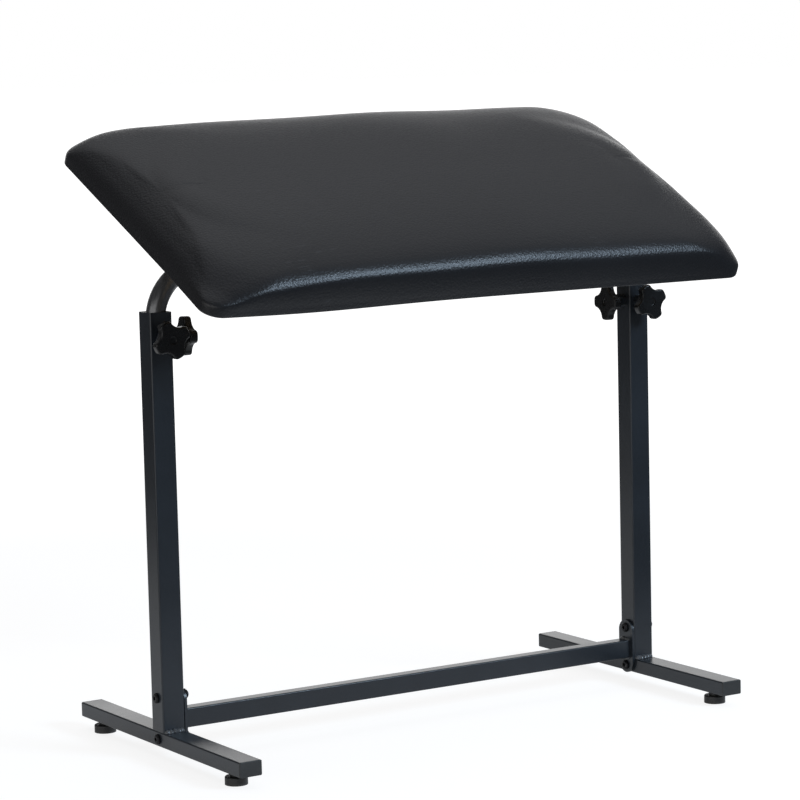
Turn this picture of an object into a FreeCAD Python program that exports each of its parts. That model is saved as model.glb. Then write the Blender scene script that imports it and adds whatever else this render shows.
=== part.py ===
import FreeCAD, Part
import math
import os
import re
import Sketcher
from FreeCAD import Placement, Rotation, Vector

# Tattoo arm rest stand
# Two square posts stand on foot bars that run from front to rear, and a cross bar bolts the two
# sides together just above the floor. A bent round bar slides up and down inside the posts, four
# screwed knobs hold it, and a wide upholstered pad tilts on its level run.
# X runs from left to right along the cross bar, Y runs to the rear and Z is up. The origin lies
# on the floor in the middle of the four glides. Lengths are in millimetres, angles in degrees.

DRIVING_SIZES = {
    "Square posts": {
        "post_side": 25,
        "post_wall": 1.2,
        "post_corner": 1.8,
        "post_inner_corner": 0.6,
        "post_length": 429,
        "post_spacing": 595,
        "post_setback": 3,
    },
    "Foot bars": {
        "foot_length": 347,
        "foot_height": 15.6,
        "foot_wall": 1.5,
        "foot_corner": 1.5,
        "foot_inner_corner": 0.5,
        "foot_clearance": 12.8,
    },
    "End caps of the foot bars": {
        "cap_flange": 2,
        "cap_rim_radius": 0.8,
        "cap_plug_length": 14,
        "cap_plug_clearance": 0.15,
    },
    "Levelling glides and their inserts": {
        "glide_diameter": 23,
        "glide_height": 8.5,
        "glide_rim_radius": 1.6,
        "glide_collar_diameter": 12.5,
        "glide_collar_height": 2.3,
        "glide_inset": 30.3,
        "glide_stem_diameter": 8,
        "glide_stem_length": 19,
        "glide_stem_depth": 4.7,
        "insert_flange_diameter": 14,
        "insert_flange": 1,
        "insert_barrel_diameter": 11,
        "insert_barrel_length": 8.5,
    },
    "Cross bar and its end plates": {
        "cross_bar_height": 20.3,
        "cross_bar_depth": 15.6,
        "cross_bar_wall": 1.5,
        "cross_bar_corner": 1.5,
        "cross_bar_inner_corner": 0.5,
        "cross_bar_rise": 1.1,
        "end_plate_thickness": 3,
        "end_plate_margin": 8.5,
        "frame_bolt_spacing": 42.6,
    },
    "Weld beads": {
        "post_weld_radius": 3.4,
        "cross_bar_weld_radius": 2.3,
        "weld_end_gap": 0.5,
    },
    "Frame bolts and nuts": {
        "frame_bolt_diameter": 6,
        "frame_bolt_length": 35,
        "frame_bolt_head_diameter": 10.5,
        "frame_bolt_head_height": 3,
        "frame_bolt_head_rounding": 2,
        "frame_bolt_socket": 4,
        "frame_bolt_socket_depth": 2,
        "frame_nut_flats": 10,
        "frame_nut_height": 4.6,
        "frame_nut_collar_diameter": 8.6,
        "frame_nut_collar_height": 1.4,
        "hole_clearance": 0.25,
        "thread_clearance": 0.05,
    },
    "Knobs and the nuts that they screw into": {
        "knob_drop": 26.7,
        "knob_diameter": 40,
        "knob_waist": 28,
        "knob_scallop_radius": 11.9,
        "knob_lobe_rounding": 4,
        "knob_thickness": 9,
        "knob_rim_radius": 1.8,
        "knob_hub_diameter": 16,
        "knob_hub_length": 6.6,
        "knob_dimple_diameter": 8.5,
        "knob_dimple_depth": 1.6,
        "knob_dimple_rounding": 1.2,
        "knob_gap": 3.3,
        "stud_diameter": 8,
        "stud_hold": 11,
        "stud_tip_gap": 0.3,
        "stud_hole_clearance": 0.5,
        "clamp_nut_flats": 13,
        "clamp_nut_height": 6.5,
    },
    "Bent pad bar": {
        "bar_diameter": 20,
        "bar_wall": 1.5,
        "bar_bend_radius": 53,
        "bar_bend_sink": 9.5,
        "bar_leg_length": 303,
        "guide_clearance": 0.2,
        "guide_corner": 2,
        "guide_height": 17,
        "guide_spigot_length": 15,
        "guide_spigot_clearance": 0.1,
    },
    "Saddles that hold the pad on the bar": {
        "saddle_spacing": 322,
        "saddle_width": 32,
        "saddle_length": 48,
        "saddle_corner": 3,
        "saddle_flange": 5,
        "saddle_flange_length": 87,
        "saddle_split": 1,
        "saddle_cap_height": 15.5,
        "saddle_cap_rounding": 2,
        "bar_running_clearance": 0.05,
        "saddle_bolt_diameter": 6,
        "saddle_bolt_pitch": 33,
        "saddle_bolt_length": 32,
        "saddle_bolt_end_gap": 2,
        "saddle_bolt_head_diameter": 10,
        "saddle_bolt_head_height": 6,
        "saddle_bolt_head_rounding": 0.6,
        "saddle_bolt_socket": 5,
        "saddle_bolt_socket_depth": 3,
        "board_screw_diameter": 4.5,
        "board_screw_length": 13,
        "board_screw_end_gap": 0.5,
        "board_screw_head_diameter": 9,
        "board_screw_head_height": 2.6,
        "board_screw_head_rounding": 1.6,
        "board_screw_socket": 3,
        "board_screw_socket_depth": 1.4,
        "board_screw_long_pitch": 74,
        "board_screw_short_pitch": 20,
    },
    "Pad": {
        "pad_tilt": 25.35,
        "pad_width": 652.4,
        "pad_depth": 343.9,
        "pad_straight_edge": 7.6,
        "pad_height": 59.5,
        "pad_end_draw": 53.9,
        "pad_crown_width": 60.1,
        "pad_corner": 20.2,
        "pad_shift": 9.5,
        "pad_standoff": 34.5,
        "cover_thickness": 1.2,
        "cover_hem": 32,
        "cover_hem_corner": 11.4,
        "cover_ease": 0.3,
        "board_thickness": 9,
        "board_inset": 2,
    },
}

# Each row of the pad's form gives its share of the way up from the straight edge to the top, and
# the shares of their whole draw that the short ends and the long edges have drawn in by there. The
# plan corners open out with the larger draw, up to a share of the half depth that is left.
PAD_ROW_SHARES = (
    (0, 0, 0),
    (0.076, 0.012, 0),
    (0.151, 0.047, 0),
    (0.227, 0.088, 0),
    (0.302, 0.128, 0),
    (0.384, 0.175, 0.003),
    (0.466, 0.228, 0.012),
    (0.550, 0.284, 0.029),
    (0.632, 0.349, 0.057),
    (0.714, 0.422, 0.117),
    (0.785, 0.496, 0.230),
    (0.856, 0.588, 0.369),
    (0.929, 0.713, 0.561),
    (0.985, 0.860, 0.800),
    (1, 1, 1),
)
CORNER_GROWTH_SHARE = 2.08
CORNER_LIMIT_SHARE = 0.92

KNOB_LOBES = 4
FRONT_KNOB_TURN = 26
SIDES = {"left": -1, "right": 1}
ENDS = {"front": -1, "rear": 1}
X_AXIS = Vector(1, 0, 0)
Y_AXIS = Vector(0, 1, 0)
Z_AXIS = Vector(0, 0, 1)

document = FreeCAD.newDocument("tattoo_arm_rest_stand")
sheet = document.addObject("Spreadsheet::Sheet", "sizes")
nodes = {}


# Sheet of driving sizes

def fill_sheet():
    """Writes each driving size to a cell of its own, with its name as the alias."""
    row = 0
    for heading, sizes in DRIVING_SIZES.items():
        row += 1
        sheet.set("A%d" % row, heading)
        for name, amount in sizes.items():
            row += 1
            sheet.set("A%d" % row, name)
            sheet.set("B%d" % row, str(amount))
            sheet.setAlias("B%d" % row, name)
    document.recompute()


def in_sheet(text):
    """Turns a sum of size names into an expression on the sheet's cells."""
    return re.sub(r"[a-z]+_[a-z_]+", r"sizes.\g<0>", text)


def measure(text):
    """Works out a sum of size names."""
    return float(sheet.evalExpression(in_sheet(text)))


# Sketches, whose every size follows the sheet

def new_body(label):
    body = document.addObject("PartDesign::Body", label)
    body.Label = label
    return body


def new_sketch(body, role, level="0"):
    """Adds a sketch on one of the body's own planes, moved along its normal to a level."""
    plane = [item for item in body.Origin.OriginFeatures if item.Role == role][0]
    sketch = body.newObject("Sketcher::SketchObject", body.Name + "_sketch")
    sketch.AttachmentSupport = [(plane, "")]
    sketch.MapMode = "FlatFace"
    sketch.setExpression("AttachmentOffset.Base.z", in_sheet(level))
    return sketch


def bind(sketch, constraint, text):
    index = sketch.addConstraint(constraint)
    sketch.setExpression("Constraints[%d]" % index, in_sheet(text))


def pin_point(sketch, geometry, point, across, up):
    """Holds a point of a sketch at two distances from its origin."""
    for kind, text in (("DistanceX", across), ("DistanceY", up)):
        bind(sketch, Sketcher.Constraint(kind, -1, 1, geometry, point, measure(text)), text)


def draw_circle(sketch, diameter, across="0", up="0"):
    centre = Vector(measure(across), measure(up), 0)
    size = measure(diameter)
    circle = sketch.addGeometry(Part.Circle(centre, Z_AXIS, size / 2))
    pin_point(sketch, circle, 3, across, up)
    bind(sketch, Sketcher.Constraint("Diameter", circle, size), diameter)


def draw_rounded_rectangle(sketch, width, height, corner):
    """Draws a rectangle with rounded corners about the sketch's origin."""
    half_width = measure(width) / 2
    half_height = measure(height) / 2
    radius = measure(corner)
    flat_x = half_width - radius
    flat_y = half_height - radius
    edges = (
        (Vector(-flat_x, half_height, 0), Vector(flat_x, half_height, 0)),
        (Vector(half_width, flat_y, 0), Vector(half_width, -flat_y, 0)),
        (Vector(flat_x, -half_height, 0), Vector(-flat_x, -half_height, 0)),
        (Vector(-half_width, -flat_y, 0), Vector(-half_width, flat_y, 0)),
    )
    corners = ((flat_x, flat_y), (flat_x, -flat_y), (-flat_x, -flat_y), (-flat_x, flat_y))
    lines = [sketch.addGeometry(Part.LineSegment(start, end)) for start, end in edges]
    arcs = []
    for turn, (x, y) in enumerate(corners):
        circle = Part.Circle(Vector(x, y, 0), Z_AXIS, radius)
        start = -turn * math.pi / 2
        arcs.append(sketch.addGeometry(Part.ArcOfCircle(circle, start, start + math.pi / 2)))
    for turn, (line, arc) in enumerate(zip(lines, arcs)):
        after = lines[(turn + 1) % len(lines)]
        sketch.addConstraint(Sketcher.Constraint("Tangent", line, 2, arc, 2))
        sketch.addConstraint(Sketcher.Constraint("Tangent", arc, 1, after, 1))
        direction = "Vertical" if turn % 2 else "Horizontal"
        sketch.addConstraint(Sketcher.Constraint(direction, line))
    for turn in (1, 2):
        sketch.addConstraint(Sketcher.Constraint("Equal", arcs[0], arcs[turn]))
    bind(sketch, Sketcher.Constraint("Radius", arcs[0], radius), corner)
    upper = Sketcher.Constraint("DistanceY", -1, 1, lines[0], 1, half_height)
    bind(sketch, upper, "(%s) / 2" % height)
    right = Sketcher.Constraint("DistanceX", -1, 1, lines[1], 1, half_width)
    bind(sketch, right, "(%s) / 2" % width)
    lower = Sketcher.Constraint("DistanceY", -1, 1, lines[2], 1, -half_height)
    bind(sketch, lower, "-(%s) / 2" % height)
    left = Sketcher.Constraint("DistanceX", -1, 1, lines[3], 1, -half_width)
    bind(sketch, left, "-(%s) / 2" % width)


def draw_hexagon(sketch, flats):
    """Draws a regular hexagon about the sketch's origin, measured across its flats."""
    reach = measure(flats) / math.sqrt(3)
    points = [
        Vector(reach * math.cos(turn * math.pi / 3), reach * math.sin(turn * math.pi / 3), 0)
        for turn in range(6)
    ]
    circle = sketch.addGeometry(Part.Circle(Vector(0, 0, 0), Z_AXIS, reach), True)
    lines = [
        sketch.addGeometry(Part.LineSegment(start, end))
        for start, end in zip(points, points[1:] + points[:1])
    ]
    sketch.addConstraint(Sketcher.Constraint("Coincident", circle, 3, -1, 1))
    for line, after in zip(lines, lines[1:] + lines[:1]):
        sketch.addConstraint(Sketcher.Constraint("Coincident", line, 2, after, 1))
        sketch.addConstraint(Sketcher.Constraint("PointOnObject", line, 1, circle))
        if after != lines[0]:
            sketch.addConstraint(Sketcher.Constraint("Equal", line, after))
    sketch.addConstraint(Sketcher.Constraint("PointOnObject", lines[0], 1, -1))
    width = "2 * (%s) / sqrt(3)" % flats
    bind(sketch, Sketcher.Constraint("Diameter", circle, measure(width)), width)


def draw_slot(sketch, length, width):
    """Draws an upright outline with round ends about the sketch's origin."""
    radius = measure(width) / 2
    reach = measure(length) / 2 - radius
    upper = Part.Circle(Vector(0, reach, 0), Z_AXIS, radius)
    lower = Part.Circle(Vector(0, -reach, 0), Z_AXIS, radius)
    left_edge = Part.LineSegment(Vector(-radius, reach, 0), Vector(-radius, -reach, 0))
    right_edge = Part.LineSegment(Vector(radius, -reach, 0), Vector(radius, reach, 0))
    outline = [
        sketch.addGeometry(Part.ArcOfCircle(upper, 0, math.pi)),
        sketch.addGeometry(left_edge),
        sketch.addGeometry(Part.ArcOfCircle(lower, math.pi, 2 * math.pi)),
        sketch.addGeometry(right_edge),
    ]
    for edge, after in zip(outline, outline[1:] + outline[:1]):
        sketch.addConstraint(Sketcher.Constraint("Tangent", edge, 2, after, 1))
    centre_height = "((%s) - (%s)) / 2" % (length, width)
    pin_point(sketch, outline[0], 3, "0", centre_height)
    pin_point(sketch, outline[2], 3, "0", "-" + centre_height)
    bind(sketch, Sketcher.Constraint("Diameter", outline[0], 2 * radius), width)


# Features

def set_extent(feature, length, both_ways, forwards):
    if length is None:
        feature.Type = "ThroughAll"
    else:
        feature.setExpression("Length", in_sheet(length))
    if both_ways:
        feature.SideType = "Symmetric"
    feature.Reversed = not forwards
    document.recompute()


def grow(body, sketch, length, both_ways=False, forwards=True):
    """Pads a sketch along its normal, and stops if the body did not grow."""
    document.recompute()
    before = 0 if body.Shape.isNull() else body.Shape.Volume
    feature = body.newObject("PartDesign::Pad", body.Name + "_pad")
    feature.Profile = sketch
    set_extent(feature, length, both_ways, forwards)
    if body.Shape.Volume <= before:
        raise ValueError("a pad adds nothing to " + body.Label)


def cut(body, sketch, length=None, both_ways=False, forwards=True):
    """Pockets a sketch along its normal, right through unless a depth is given."""
    document.recompute()
    before = body.Shape.Volume
    feature = body.newObject("PartDesign::Pocket", body.Name + "_pocket")
    feature.Profile = sketch
    set_extent(feature, length, both_ways, not forwards)
    if body.Shape.Volume >= before:
        raise ValueError("a pocket cuts nothing from " + body.Label)
    return feature


def repeat_around(body, feature, count):
    """Repeats a feature around the body's Z axis."""
    axis = [item for item in body.Origin.OriginFeatures if item.Role == "Z_Axis"][0]
    pattern = body.newObject("PartDesign::PolarPattern", body.Name + "_pattern")
    pattern.Originals = [feature]
    pattern.Axis = (axis, [""])
    pattern.Angle = 360
    pattern.Occurrences = count
    body.Tip = pattern
    document.recompute()


def round_edges(body, radius, wanted):
    """Rounds each edge of the body that the test picks."""
    document.recompute()
    names = [
        "Edge%d" % (number + 1)
        for number, edge in enumerate(body.Shape.Edges)
        if wanted(edge)
    ]
    if not names:
        raise ValueError("no edge to round on " + body.Label)
    base = body.Tip
    feature = body.newObject("PartDesign::Fillet", body.Name + "_fillet")
    feature.Base = (base, names)
    feature.setExpression("Radius", in_sheet(radius))
    document.recompute()


def close_to(value, goal):
    return math.isclose(value, goal, rel_tol=1e-6, abs_tol=1e-6 * measure("post_side"))


def lies_at(text):
    """Makes a test for edges that lie flat at a level of the body's own frame."""
    level = measure(text)

    def test(edge):
        box = edge.BoundBox
        return close_to(box.ZMin, level) and close_to(box.ZMax, level)
    return test


def lies_upright_at(reach_text):
    """Makes a test for upright edges at a distance from the body's Z axis."""
    reach = measure(reach_text)

    def test(edge):
        start, end = edge.Vertexes[0].Point, edge.Vertexes[-1].Point
        upright = close_to(start.x, end.x) and close_to(start.y, end.y)
        return upright and start != end and close_to(math.hypot(start.x, start.y), reach)
    return test


# Nodes of the part

def list_node(label, item, placement):
    item.Label = label
    item.Placement = placement
    nodes[label] = item


def list_group(label, shapes):
    """Lists like pieces as one node, each a solid of its own."""
    item = document.addObject("Part::Feature", label)
    item.Shape = Part.makeCompound(shapes)
    list_node(label, item, Placement())


def copy_to(master, placement):
    """Gives a copy of a finished body's shape, moved to a place."""
    shape = master.Shape.copy()
    shape.Placement = placement
    return shape


fill_sheet()

# Places that follow from the driving sizes
half_side = measure("post_side / 2")
post_x = measure("post_spacing / 2")
post_y = measure("-post_setback")
foot_middle = measure("foot_clearance + foot_height / 2")
foot_top = measure("foot_clearance + foot_height")
upper_bolt_level = foot_middle + measure("frame_bolt_spacing")
cross_bar_middle = foot_top + measure("cross_bar_rise + cross_bar_height / 2")
knob_level = foot_top + measure("post_length - knob_drop")
bar_level = foot_top + measure("post_length - bar_bend_sink + bar_bend_radius")
leg_end_level = foot_top + measure("post_length - bar_bend_sink - bar_leg_length")
insert_level = measure("foot_clearance")
glide_y = measure("foot_length / 2 - glide_inset")
plate_face_x = post_x - half_side - measure("end_plate_thickness")
outwards = {"front": Vector(0, -1, 0), "left": X_AXIS, "right": Vector(-1, 0, 0)}


# Foot bars
# Each is a flat rectangular tube as wide as the post, with a cross hole for the lower frame bolt
# and a hole in its lower wall for the insert of each glide.

def make_foot_bar(label, side):
    body = new_body(label)
    profile = new_sketch(body, "XZ_Plane")
    draw_rounded_rectangle(profile, "post_side", "foot_height", "foot_corner")
    grow(body, profile, "foot_length - 2 * cap_flange", both_ways=True)
    hollow = new_sketch(body, "XZ_Plane")
    inner_width = "post_side - 2 * foot_wall"
    inner_height = "foot_height - 2 * foot_wall"
    draw_rounded_rectangle(hollow, inner_width, inner_height, "foot_inner_corner")
    cut(body, hollow, both_ways=True)
    bolt_hole = new_sketch(body, "YZ_Plane")
    draw_circle(bolt_hole, "frame_bolt_diameter + 2 * hole_clearance", "-post_setback")
    cut(body, bolt_hole, both_ways=True)
    insert_holes = new_sketch(body, "XY_Plane")
    for sign in ("", "-"):
        reach = sign + "(foot_length / 2 - glide_inset)"
        diameter = "insert_barrel_diameter + 2 * thread_clearance"
        draw_circle(insert_holes, diameter, "0", reach)
    cut(body, insert_holes, forwards=False)
    list_node(label, body, Placement(Vector(side * post_x, 0, foot_middle), Rotation()))


# Posts
# Square tubes, open at the top, stand on the foot bars. Each has a cross hole for the upper frame
# bolt, and a hole for a knob's stud in its front wall and in the wall that faces the other post.

def make_post(label, side):
    body = new_body(label)
    profile = new_sketch(body, "XY_Plane")
    draw_rounded_rectangle(profile, "post_side", "post_side", "post_corner")
    grow(body, profile, "post_length")
    hollow = new_sketch(body, "XY_Plane")
    inner_side = "post_side - 2 * post_wall"
    draw_rounded_rectangle(hollow, inner_side, inner_side, "post_inner_corner")
    cut(body, hollow, both_ways=True)
    bolt_hole = new_sketch(body, "YZ_Plane")
    bolt_height = "frame_bolt_spacing - foot_height / 2"
    draw_circle(bolt_hole, "frame_bolt_diameter + 2 * hole_clearance", "0", bolt_height)
    cut(body, bolt_hole, both_ways=True)
    for role, forwards in (("XZ_Plane", True), ("YZ_Plane", side < 0)):
        stud_hole = new_sketch(body, role)
        diameter = "stud_diameter + 2 * stud_hole_clearance"
        draw_circle(stud_hole, diameter, "0", "post_length - knob_drop")
        cut(body, stud_hole, forwards=forwards)
    list_node(label, body, Placement(Vector(side * post_x, post_y, foot_top), Rotation()))


# End caps
# Plastic caps close the foot bars. A thin flange covers the tube's end and a plug holds it there.

def make_end_cap(label, side, end):
    body = new_body(label)
    flange = new_sketch(body, "XY_Plane")
    draw_rounded_rectangle(flange, "post_side", "foot_height", "foot_corner")
    grow(body, flange, "cap_flange")
    round_edges(body, "cap_rim_radius", lies_at("cap_flange"))
    plug = new_sketch(body, "XY_Plane")
    plug_width = "post_side - 2 * foot_wall - 2 * cap_plug_clearance"
    plug_height = "foot_height - 2 * foot_wall - 2 * cap_plug_clearance"
    draw_rounded_rectangle(plug, plug_width, plug_height, "foot_corner")
    grow(body, plug, "cap_plug_length", forwards=False)
    tube_end = Vector(side * post_x, end * measure("foot_length / 2 - cap_flange"), foot_middle)
    list_node(label, body, Placement(tube_end, Rotation(X_AXIS, -90 * end)))


# Inserts and levelling glides
# A flanged threaded insert sits in each end of a foot bar. The glide is a plastic disc with a
# collar, moulded around the end of a steel stem that screws up into the insert.

def make_foot_inserts(label):
    insert = new_body("foot_insert")
    flange = new_sketch(insert, "XY_Plane")
    draw_circle(flange, "insert_flange_diameter")
    grow(insert, flange, "insert_flange", forwards=False)
    barrel = new_sketch(insert, "XY_Plane")
    draw_circle(barrel, "insert_barrel_diameter")
    grow(insert, barrel, "insert_barrel_length")
    bore = new_sketch(insert, "XY_Plane")
    draw_circle(bore, "glide_stem_diameter + 2 * thread_clearance")
    cut(insert, bore, both_ways=True)
    places = [
        Vector(side * post_x, end * glide_y, insert_level)
        for side in SIDES.values()
        for end in ENDS.values()
    ]
    list_group(label, [copy_to(insert, Placement(place, Rotation())) for place in places])


def make_glide(label, side, end):
    body = new_body(label)
    disc = new_sketch(body, "XY_Plane")
    draw_circle(disc, "glide_diameter")
    grow(body, disc, "glide_height")
    round_edges(body, "glide_rim_radius", lies_at("glide_height"))
    collar = new_sketch(body, "XY_Plane", "glide_height")
    draw_circle(collar, "glide_collar_diameter")
    grow(body, collar, "glide_collar_height")
    socket = new_sketch(body, "XY_Plane", "glide_height + glide_collar_height")
    draw_circle(socket, "glide_stem_diameter")
    cut(body, socket, "glide_stem_depth", forwards=False)
    list_node(label, body, Placement(Vector(side * post_x, end * glide_y, 0), Rotation()))


def make_glide_stem(label, side, end):
    body = new_body(label)
    rod = new_sketch(body, "XY_Plane", "glide_height + glide_collar_height - glide_stem_depth")
    draw_circle(rod, "glide_stem_diameter")
    grow(body, rod, "glide_stem_length")
    list_node(label, body, Placement(Vector(side * post_x, end * glide_y, 0), Rotation()))


# Cross bar and end plates
# The bar is a rectangular tube. A round-ended plate is welded to each of its ends and lies flat
# against the post above and the foot bar below.

def make_cross_bar(label):
    body = new_body(label)
    profile = new_sketch(body, "YZ_Plane")
    draw_rounded_rectangle(profile, "cross_bar_depth", "cross_bar_height", "cross_bar_corner")
    grow(body, profile, "post_spacing - post_side - 2 * end_plate_thickness", both_ways=True)
    hollow = new_sketch(body, "YZ_Plane")
    inner_depth = "cross_bar_depth - 2 * cross_bar_wall"
    inner_height = "cross_bar_height - 2 * cross_bar_wall"
    draw_rounded_rectangle(hollow, inner_depth, inner_height, "cross_bar_inner_corner")
    cut(body, hollow, both_ways=True)
    list_node(label, body, Placement(Vector(0, post_y, cross_bar_middle), Rotation()))


def make_end_plate(label, side):
    body = new_body(label)
    outline = new_sketch(body, "YZ_Plane")
    draw_slot(outline, "frame_bolt_spacing + 2 * end_plate_margin", "post_side")
    grow(body, outline, "end_plate_thickness", forwards=side > 0)
    holes = new_sketch(body, "YZ_Plane")
    for sign in ("", "-"):
        height = sign + "(frame_bolt_spacing / 2)"
        draw_circle(holes, "frame_bolt_diameter + 2 * hole_clearance", "0", height)
    cut(body, holes, both_ways=True)
    middle = foot_middle + measure("frame_bolt_spacing / 2")
    list_node(label, body, Placement(Vector(side * plate_face_x, post_y, middle), Rotation()))


# Weld beads
# Rounded beads fill the corners between a post and its foot bar, at the front and the rear, and
# between the cross bar and its end plates, above and below.

def make_bead(corner, first, second, radius, length):
    """Makes a bead with its middle at a corner point, reaching along two square directions."""
    run = first.cross(second)
    start = corner - run * (length / 2)
    ends = [start + first * radius, start + second * radius]
    bulge = start + (first + second) * (radius / math.sqrt(2))
    arc = Part.Arc(ends[0], bulge, ends[1]).toShape()
    sides = [Part.makeLine(start, ends[0]), Part.makeLine(ends[1], start)]
    return Part.Face(Part.Wire([sides[0], arc, sides[1]])).extrude(run * length)


def make_post_welds(label, side):
    radius = measure("post_weld_radius")
    length = measure("post_side - 2 * post_corner - 2 * weld_end_gap")
    beads = []
    for end in ENDS.values():
        corner = Vector(side * post_x, post_y + end * half_side, foot_top)
        beads.append(make_bead(corner, Y_AXIS * end, Z_AXIS, radius, length))
    list_group(label, beads)


def make_cross_bar_welds(label):
    radius = measure("cross_bar_weld_radius")
    length = measure("cross_bar_depth - 2 * cross_bar_corner - 2 * weld_end_gap")
    beads = []
    for side in SIDES.values():
        for rise in (-1, 1):
            height = cross_bar_middle + rise * measure("cross_bar_height / 2")
            corner = Vector(side * plate_face_x, post_y, height)
            beads.append(make_bead(corner, X_AXIS * -side, Z_AXIS * rise, radius, length))
    list_group(label, beads)


# Bolts, screws and nuts
# A screw stands head up about its Z axis, with the head's seat at the origin.

def make_screw(name, size, socket_flats):
    """Makes a screw with a rounded head and a hexagon socket, from the sizes of its own name."""
    screw = new_body(name)
    head = new_sketch(screw, "XY_Plane")
    draw_circle(head, size + "_head_diameter")
    grow(screw, head, size + "_head_height")
    round_edges(screw, size + "_head_rounding", lies_at(size + "_head_height"))
    socket = new_sketch(screw, "XY_Plane", size + "_head_height")
    draw_hexagon(socket, socket_flats)
    cut(screw, socket, size + "_socket_depth", forwards=False)
    shank = new_sketch(screw, "XY_Plane")
    draw_circle(shank, size + "_diameter")
    grow(screw, shank, size + "_length", forwards=False)
    return screw


def bolt_points(x_of_side):
    """Lists the frame bolts' axes at the given distance across on each side."""
    return [
        Vector(x_of_side[side], post_y, level)
        for side in SIDES.values()
        for level in (foot_middle, upper_bolt_level)
    ]


def make_frame_bolts(label):
    bolt = make_screw("frame_bolt", "frame_bolt", "frame_bolt_socket")
    head_faces = {-1: -post_x - half_side, 1: plate_face_x}
    head_left = Rotation(Z_AXIS, Vector(-1, 0, 0))
    points = bolt_points(head_faces)
    list_group(label, [copy_to(bolt, Placement(point, head_left)) for point in points])


def make_frame_nuts(label):
    nut = new_body("frame_nut")
    hexagon = new_sketch(nut, "XY_Plane")
    draw_hexagon(hexagon, "frame_nut_flats")
    grow(nut, hexagon, "frame_nut_height")
    collar = new_sketch(nut, "XY_Plane", "frame_nut_height")
    draw_circle(collar, "frame_nut_collar_diameter")
    grow(nut, collar, "frame_nut_collar_height")
    bore = new_sketch(nut, "XY_Plane")
    draw_circle(bore, "frame_bolt_diameter + 2 * thread_clearance")
    cut(nut, bore, both_ways=True)
    nut_faces = {-1: -plate_face_x, 1: post_x + half_side}
    collar_right = Rotation(Z_AXIS, X_AXIS)
    points = bolt_points(nut_faces)
    list_group(label, [copy_to(nut, Placement(point, collar_right)) for point in points])


def post_face(side, direction):
    """Gives the point and the turn of a stud's axis where it leaves a post's face."""
    middle = Vector(side * post_x, post_y, knob_level)
    return Placement(middle + direction * half_side, Rotation(Z_AXIS, direction))


def make_clamp_nuts(label):
    nut = new_body("clamp_nut")
    hexagon = new_sketch(nut, "XY_Plane")
    draw_hexagon(hexagon, "clamp_nut_flats")
    grow(nut, hexagon, "clamp_nut_height")
    bore = new_sketch(nut, "XY_Plane")
    draw_circle(bore, "stud_diameter + 2 * thread_clearance")
    cut(nut, bore, both_ways=True)
    places = []
    for name, side in SIDES.items():
        places += [post_face(side, outwards["front"]), post_face(side, outwards[name])]
    list_group(label, [copy_to(nut, place) for place in places])


# Knobs
# Each is a plastic head of four lobes with a hub behind it, moulded on a threaded stud. The stud
# runs through the clamp nut and the post's wall, up to the bar. Z points out of the post's face.

def make_knob(label, side, direction, turn):
    body = new_body(label)
    hub_level = "clamp_nut_height + knob_gap"
    star_level = hub_level + " + knob_hub_length"
    front_level = star_level + " + knob_thickness"
    star = new_sketch(body, "XY_Plane", star_level)
    draw_circle(star, "knob_diameter")
    grow(body, star, "knob_thickness")
    scallop = new_sketch(body, "XY_Plane", star_level)
    reach = "(knob_waist / 2 + knob_scallop_radius) * sqrt(0.5)"
    draw_circle(scallop, "2 * knob_scallop_radius", reach, reach)
    repeat_around(body, cut(body, scallop), KNOB_LOBES)
    round_edges(body, "knob_lobe_rounding", lies_upright_at("knob_diameter / 2"))
    round_edges(body, "knob_rim_radius", lies_at(front_level))
    round_edges(body, "knob_rim_radius", lies_at(star_level))
    hub = new_sketch(body, "XY_Plane", hub_level)
    draw_circle(hub, "knob_hub_diameter")
    grow(body, hub, "knob_hub_length")
    dimple = new_sketch(body, "XY_Plane", front_level)
    draw_circle(dimple, "knob_dimple_diameter")
    cut(body, dimple, "knob_dimple_depth", forwards=False)
    round_edges(body, "knob_dimple_rounding", lies_at(front_level + " - knob_dimple_depth"))
    socket = new_sketch(body, "XY_Plane", hub_level)
    draw_circle(socket, "stud_diameter")
    cut(body, socket, "stud_hold")
    spin = Placement(Vector(), Rotation(Z_AXIS, turn))
    list_node(label, body, post_face(side, direction).multiply(spin))


def make_knob_stud(label, side, direction):
    body = new_body(label)
    rod = new_sketch(body, "XY_Plane", "clamp_nut_height + knob_gap + stud_hold")
    draw_circle(rod, "stud_diameter")
    outside = "clamp_nut_height + knob_gap + stud_hold"
    inside = "post_side / 2 - bar_diameter / 2 - stud_tip_gap"
    grow(body, rod, outside + " + " + inside, forwards=False)
    list_node(label, body, post_face(side, direction))


# Bent pad bar
# A round tube with a leg down each post, a bend above each post and a level run between them. A
# square plastic guide is plugged into the end of each leg.

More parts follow.
